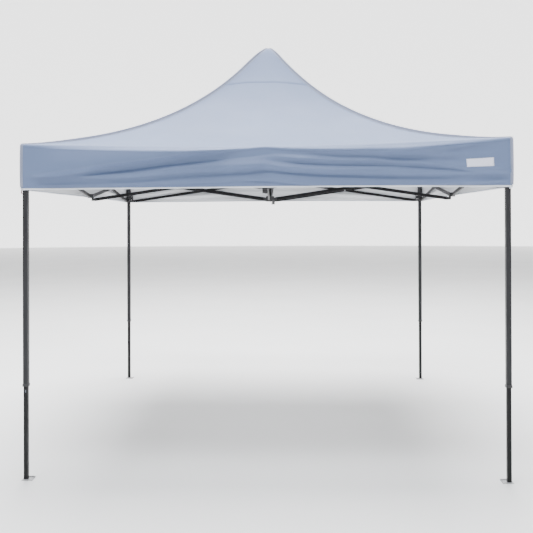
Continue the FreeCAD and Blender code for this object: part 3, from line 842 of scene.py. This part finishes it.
def stitches(name, side, path, pitch, lift, material):
    """A row of separate stitches along a path of (s, run) points."""
    path, scale = np.asarray(path, float), np.array([HALF, RUN_METRES])
    pieces = np.linalg.norm(np.diff(path * scale, axis=0), axis=1)
    lengths = np.concatenate([[0], np.cumsum(pieces)])
    count = int(lengths[-1] / pitch)
    starts = (np.arange(count) + 0.5) * pitch
    half, thick, raised = pitch * 0.36, 0.0005, 0.0007

    def along(place):
        return np.stack([np.interp(place, lengths, part) for part in path.T], axis=-1)

    before, middle, after = along(starts - half), along(starts), along(starts + half)
    heading = (after - before) * scale
    heading = heading / np.linalg.norm(heading, axis=1, keepdims=True)
    across = np.stack([-heading[:, 1], heading[:, 0]], axis=-1) / scale * thick
    outline = ((before, 0), (middle + across, 0), (after, 0), (middle - across, 0),
               (middle, raised))
    rest, target = (
        np.stack([lifted(shape, side, place[:, 0], place[:, 1], lift + rise)
                  for place, rise in outline], axis=1).reshape(-1, 3)
        for shape in (stretched, gathered))
    faces = []
    for number in range(count):
        a, b, c, d, top = range(number * 5, number * 5 + 5)
        faces += [(a, b, top), (b, c, top), (c, d, top), (d, a, top), (a, d, c, b)]
    uvs = np.stack([np.repeat(starts, 5), rest[:, 2]], axis=-1)
    piece = mesh_piece(name, rest, faces, [material], uvs)
    sew_on(piece, rest, target)
    return piece


HEM_LINE = 2 - 0.72 * BAND
for side, name in enumerate(("front", "right", "back", "left")):
    path = [(-0.995, HEM_LINE), (0.995, HEM_LINE)]
    with_cloth.append(stitches(f"hem_stitches_{name}", side, path, 0.008, 0.0009, PALE_THREAD))

# the blank patch at the right of the front valance
PATCH_LEFT, PATCH_RIGHT = 1.198 / HALF, 1.360 / HALF
PATCH_TOP, PATCH_BOTTOM = 1.425, 1.595
PATCH_LIFT, PATCH_INSET = 0.0012, 0.004


def blank_patch():
    """The patch, whose outer rows turn down to the cloth, and the stitches round it."""
    places, runs = np.meshgrid(np.pad(np.linspace(PATCH_LEFT, PATCH_RIGHT, 17), 1, "edge"),
                               np.pad(np.linspace(PATCH_TOP, PATCH_BOTTOM, 9), 1, "edge"))
    lifts = np.pad(np.full((9, 17), PATCH_LIFT), 1, constant_values=-0.0003)
    rest, target = (lifted(shape, 0, places, runs, lifts) for shape in (stretched, gathered))
    patch = cloth_grid("blank_patch", rest, target, cloth_uv(places, runs), [PATCH])
    inset, drop = PATCH_INSET / HALF, PATCH_INSET / RUN_METRES
    left, right = PATCH_LEFT + inset, PATCH_RIGHT - inset
    top, bottom = PATCH_TOP + drop, PATCH_BOTTOM - drop
    edge = [(left, top), (right, top), (right, bottom), (left, bottom), (left, top)]
    return [patch, stitches("patch_stitches", 0, edge, 0.005, PATCH_LIFT, THREAD)]


with_cloth += blank_patch()


WEBBING_THICKNESS = 0.0012
SEWN_IN, SEWN_UP = 0.0005, 0.004            # how a loop's top lies on the hem


def webbing_loop(name, side, s, width, drop, depth, material):
    """A loop of webbing sewn under the hem, hanging by drop metres."""
    per, rows = 24, 4
    rest_at, target_at = (shape(side, np.float64(s), np.float64(2.0))
                          for shape in (stretched, gathered))
    points, faces = [], []
    for across in np.linspace(-width / 2, width / 2, rows + 1):
        for thickness in (0.0, WEBBING_THICKNESS):
            for k in range(per):
                turn = math.tau * k / per
                swell = 1 - 0.25 * math.cos(turn)
                outward = (depth / 2 - thickness) * math.sin(turn) * swell - SEWN_IN
                height = (drop / 2 - thickness) * math.cos(turn) - drop / 2 + SEWN_UP
                points.append(face(side, across, outward, height))
    for row in range(rows):
        for layer in (0, 1):
            for k in range(per):
                a = (row * 2 + layer) * per + k
                b = (row * 2 + layer) * per + (k + 1) % per
                quad = (a, b, b + 2 * per, a + 2 * per)
                faces.append(quad if layer else quad[::-1])
    for row in (0, rows):
        for k in range(per):
            a, b = row * 2 * per + k, row * 2 * per + (k + 1) % per
            quad = (a, b, b + per, a + per)
            faces.append(quad if row == 0 else quad[::-1])
    points = np.array(points)
    piece = mesh_piece(name, points + rest_at, faces, [material])
    sew_on(piece, points + rest_at, points + target_at)
    return piece


with_cloth += [
    webbing_loop("hem_loop_front_left", 3, 0.985, 0.016, 0.028, 0.012, WEBBING),
    webbing_loop("hem_loop_front_right", 0, 0.992, 0.014, 0.016, 0.009, BINDING),
]


# -------------------------------------------------------------- small fittings
def lathe(profile, segments=20):
    """Points and faces of a turned part about Z, from (radius, height) pairs."""
    angles = np.arange(segments) * math.tau / segments
    points, faces = [], []
    for radius, height in profile:
        for angle in angles:
            points.append((radius * math.cos(angle), radius * math.sin(angle), height))
    for row in range(len(profile) - 1):
        for k in range(segments):
            after = (k + 1) % segments
            faces.append((row * segments + k, row * segments + after,
                          (row + 1) * segments + after, (row + 1) * segments + k))
    top = (len(profile) - 1) * segments
    faces.append(tuple(range(top, top + segments)))
    faces.append(tuple(reversed(range(segments))))
    return np.array(points), faces


# a pan head with a round recess
SCREW = lathe([(0.0050, -0.0006), (0.0050, 0.0003), (0.0046, 0.0008), (0.0036, 0.0012),
               (0.0024, 0.0014), (0.0020, 0.0005), (0.0016, 0.0004)], 18)


def placed(shape, centre, outward):
    """A turned part with its axis along outward, at centre."""
    points, faces = shape
    z = np.asarray(outward, float)
    z = z / np.linalg.norm(z)
    x = np.cross([0, 0, 1.0], z)
    x = x / np.linalg.norm(x)
    y = np.cross(z, x)
    return points @ np.array([x, y, z]) + np.asarray(centre, float), faces


def gather(name, parts, body, material, rounding=0.0):
    """One piece from several (points, faces) parts, riding on a body."""
    points, faces, offset = [], [], 0
    for part_points, part_faces in parts:
        points.append(part_points)
        faces += [tuple(index + offset for index in part_face) for part_face in part_faces]
        offset += len(part_points)
    piece = mesh_piece(name, np.vstack(points), faces, [material])
    if rounding:
        bevel = piece.modifiers.new("edges", "BEVEL")
        bevel.width = rounding
        bevel.segments = 2
    edges = piece.modifiers.new("split", "EDGE_SPLIT")
    edges.split_angle = math.radians(35)
    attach(piece, body)
    return piece


def rib(centre, size, taper=0.6):
    """A raised moulded rib: size is (x, y, z), narrower at its outer face."""
    centre, size = np.asarray(centre, float), np.asarray(size, float)
    axis = int(np.argmin(size[:2]))
    sign = math.copysign(1, centre[axis])
    points = []
    for depth, share in ((-1, 1.0), (0.3, 1.0), (1, taper)):
        for u, v in ((-1, -1), (1, -1), (1, 1), (-1, 1)):
            point = np.zeros(3)
            point[axis] = sign * depth * size[axis] / 2
            point[1 - axis] = u * size[1 - axis] / 2 * share
            point[2] = v * (size[2] / 2 - (1 - share) * size[1 - axis] / 2)
            points.append(centre + point)
    faces = [(8, 9, 10, 11), (3, 2, 1, 0)]
    for row in (0, 4):
        for k in range(4):
            faces.append((row + k, row + (k + 1) % 4, row + 4 + (k + 1) % 4, row + 4 + k))
    return np.array(points), faces


def block(centre, size):
    """A plain box as points and faces."""
    points = [np.asarray(centre) + np.array([x, y, z]) * np.asarray(size) / 2
              for z in (-1, 1) for y in (-1, 1) for x in (-1, 1)]
    faces = [(0, 2, 3, 1), (4, 5, 7, 6), (0, 1, 5, 4), (2, 6, 7, 3), (0, 4, 6, 2), (1, 3, 7, 5)]
    return np.array(points), faces


COLLAR = 0.019              # half the width of a bracket's collar
RIB_SPACING, RIB_WIDTH, RIB_DEPTH = 0.011, 0.0045, 0.0024
# each bracket's part and body, its screws' heights, and its ribs' height and length
BRACKETS = (
    ("top_bracket", "leg", (1.905, 2.015), 1.960, 0.075),
    ("slider", "slider", (1.787,), 1.832, 0.060),
)


def bracket_faces(corner, sign_x, sign_y):
    """The screws and ribs on the outer faces of a corner's two brackets."""
    face_x, face_y = sign_x * (LEG + COLLAR), sign_y * (LEG + COLLAR)
    for part, body, levels, middle, tall in BRACKETS:
        screws, ribs = [], []
        for z in levels:
            screws.append(placed(SCREW, (face_x, sign_y * LEG, z), (sign_x, 0, 0)))
            screws.append(placed(SCREW, (sign_x * LEG, face_y, z), (0, sign_y, 0)))
        for shift in (-RIB_SPACING, 0.0, RIB_SPACING):
            ribs.append(rib((face_x, sign_y * LEG + shift, middle), (RIB_DEPTH, RIB_WIDTH, tall)))
            ribs.append(rib((sign_x * LEG + shift, face_y, middle), (RIB_WIDTH, RIB_DEPTH, tall)))
        gather(f"{part}_screws_{corner}", screws, f"{body}_{corner}", STEEL)
        gather(f"{part}_ribs_{corner}", ribs, f"{body}_{corner}", PLASTIC)


SHOULDER_DEPTH, SHOULDER_WIDTH, SHOULDER_ROUNDING = 0.022, 0.033, 0.0025
SHOULDER_MIDDLE = LEG - COLLAR - 0.010
WEB, WEB_CLEARANCE = 0.0204, 0.0156         # the web's size, and its place from the leg's middle


def slider_housing(corner, sign_x, sign_y):
    """The moulded shoulders of a sliding bracket, with the screws in them."""
    leg_x, leg_y = sign_x * LEG, sign_y * LEG
    middle_x, middle_y = sign_x * SHOULDER_MIDDLE, sign_y * SHOULDER_MIDDLE
    inner_face = LEG - SHOULDER_WIDTH / 2
    web_at = LEG - WEB_CLEARANCE - WEB / 2
    shoulders = [
        block((middle_x, leg_y, 1.794), (SHOULDER_DEPTH, SHOULDER_WIDTH, 0.062)),
        block((leg_x, middle_y, 1.789), (SHOULDER_WIDTH, SHOULDER_DEPTH, 0.052)),
        block((sign_x * web_at, sign_y * web_at, 1.803), (WEB, WEB, 0.010)),
    ]
    screws = [placed(SCREW, (middle_x, sign_y * inner_face, z), (0, -sign_y, 0))
              for z in (1.781, 1.809)]
    screws += [placed(SCREW, (sign_x * inner_face, middle_y, z), (-sign_x, 0, 0))
               for z in (1.779, 1.802)]
    body = f"slider_{corner}"
    gather(f"slider_shoulders_{corner}", shoulders, body, PLASTIC,
           SHOULDER_ROUNDING)
    gather(f"slider_shoulder_screws_{corner}", screws, body, STEEL)


INNER_HALF = 0.0125         # half the inner leg
BEAD = lathe([(0.0026, 0.0), (0.0023, 0.0012), (0.0014, 0.0024), (0.0005, 0.0029)], 8)
BEAD_COUNT, BEAD_HEIGHT = 40, 0.0023


def foot_weld(corner, sign_x, sign_y):
    """The weld bead where the inner leg stands on its foot plate."""
    beads, half = [], INNER_HALF
    points, faces = BEAD
    for k in range(BEAD_COUNT):
        turn = (k + 0.5) / BEAD_COUNT * 4
        edge, along = int(turn), (turn % 1 - 0.5) * 2 * half
        x, y = ((half, along), (-along, half), (-half, -along), (along, -half))[edge]
        place = np.array([sign_x * LEG + x, sign_y * LEG + y, BEAD_HEIGHT])
        beads.append((points + place, faces))
    gather(f"foot_weld_{corner}", beads, f"inner_leg_{corner}", GALVANISED)


for corner in CORNERS:
    low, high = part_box(f"slider_{corner}")
    signs = math.copysign(1, low[0] + high[0]), math.copysign(1, low[1] + high[1])
    bracket_faces(corner, *signs)
    slider_housing(corner, *signs)
    foot_weld(corner, *signs)

# the faint height marker on the front left inner leg
marker = rib((-LEG, -LEG - 0.0127, 0.537), (0.007, 0.0008, 0.016), 0.8)
gather("height_marker", [marker], "inner_leg_front_left", MARKER)

# --------------------------------------------------------- floor and lighting
FLOOR_REACH = 60.0
WALL_SIDES = 120
GLOW_FROM, GLOW_TO = -5.0, 36.0             # Y between which the wall grows brighter
DIM, BRIGHT = 0.5, 2.0


def studio_floor(reach):
    """A plain pale floor that reaches as far on every side."""
    finish = Finish("studio_floor", (0.86, 0.86, 0.86), 0.7)
    clouds = finish.noise(0.6, 2)
    finish.colour(finish.ramp(clouds, [(0.3, (0.84, 0.84, 0.84)), (0.7, (0.88, 0.88, 0.88))]))
    points = [(-reach, -reach, 0), (reach, -reach, 0), (reach, reach, 0), (-reach, reach, 0)]
    mesh_piece("studio_floor", points, [(0, 1, 2, 3)], [finish.material])


def studio_wall(centre, radius, height):
    """A round glowing wall, brightest behind the tent and dimmer round the other sides."""
    finish = Finish("studio_wall", (0.9, 0.9, 0.9), 0.9)
    finish.set("Emission Color", (1.0, 1.0, 1.0, 1))
    split = finish.add("ShaderNodeSeparateXYZ")
    finish.link(finish.place, split.inputs["Vector"])
    glow = finish.add("ShaderNodeMapRange", interpolation_type="SMOOTHSTEP")
    for socket, setting in zip(("From Min", "From Max", "To Min", "To Max"),
                               (GLOW_FROM, GLOW_TO, DIM, BRIGHT)):
        glow.inputs[socket].default_value = setting
    finish.link(split.outputs["Y"], glow.inputs["Value"])
    finish.link(glow.outputs["Result"], finish.shader.inputs["Emission Strength"])
    points, faces = [], []
    for k in range(WALL_SIDES):
        turn = math.tau * k / WALL_SIDES
        x, y = centre[0] + radius * math.cos(turn), centre[1] + radius * math.sin(turn)
        points += [(x, y, -1), (x, y, height)]
        after = (k + 1) % WALL_SIDES
        faces.append((2 * k, 2 * k + 1, 2 * after + 1, 2 * after))
    mesh_piece("studio_wall", points, faces, [finish.material])


def softbox(name, place, target, width, height, power, colour=(1, 1, 1)):
    """A large soft area light."""
    light = bpy.data.objects.new(name, bpy.data.lights.new(name, "AREA"))
    scene.collection.objects.link(light)
    light.data.shape = "RECTANGLE"
    light.data.size, light.data.size_y = width, height
    light.data.energy = power
    light.data.color = colour
    light.location = place
    away = np.asarray(place, float) - np.asarray(target, float)
    light.rotation_euler = (math.atan2(math.hypot(away[0], away[1]), away[2]), 0,
                            math.atan2(away[1], away[0]) + math.pi / 2)


studio_floor(FLOOR_REACH)
studio_wall((0, -10), 52, 34)

world = bpy.data.worlds.new("studio")
world.use_nodes = True
background = world.node_tree.nodes["Background"]
background.inputs["Color"].default_value = (0.93, 0.96, 1.0, 1)
background.inputs["Strength"].default_value = 0.18
scene.world = world

softbox("sky_panel", (0.0, 3.0, 12.0), (0, 0, 1.5), 9.0, 9.0, 4600)
softbox("front_sky", (-1.0, -4.2, 11.0), (0, -1.4, 1.9), 8.0, 3.0, 1350, (0.94, 0.97, 1.0))
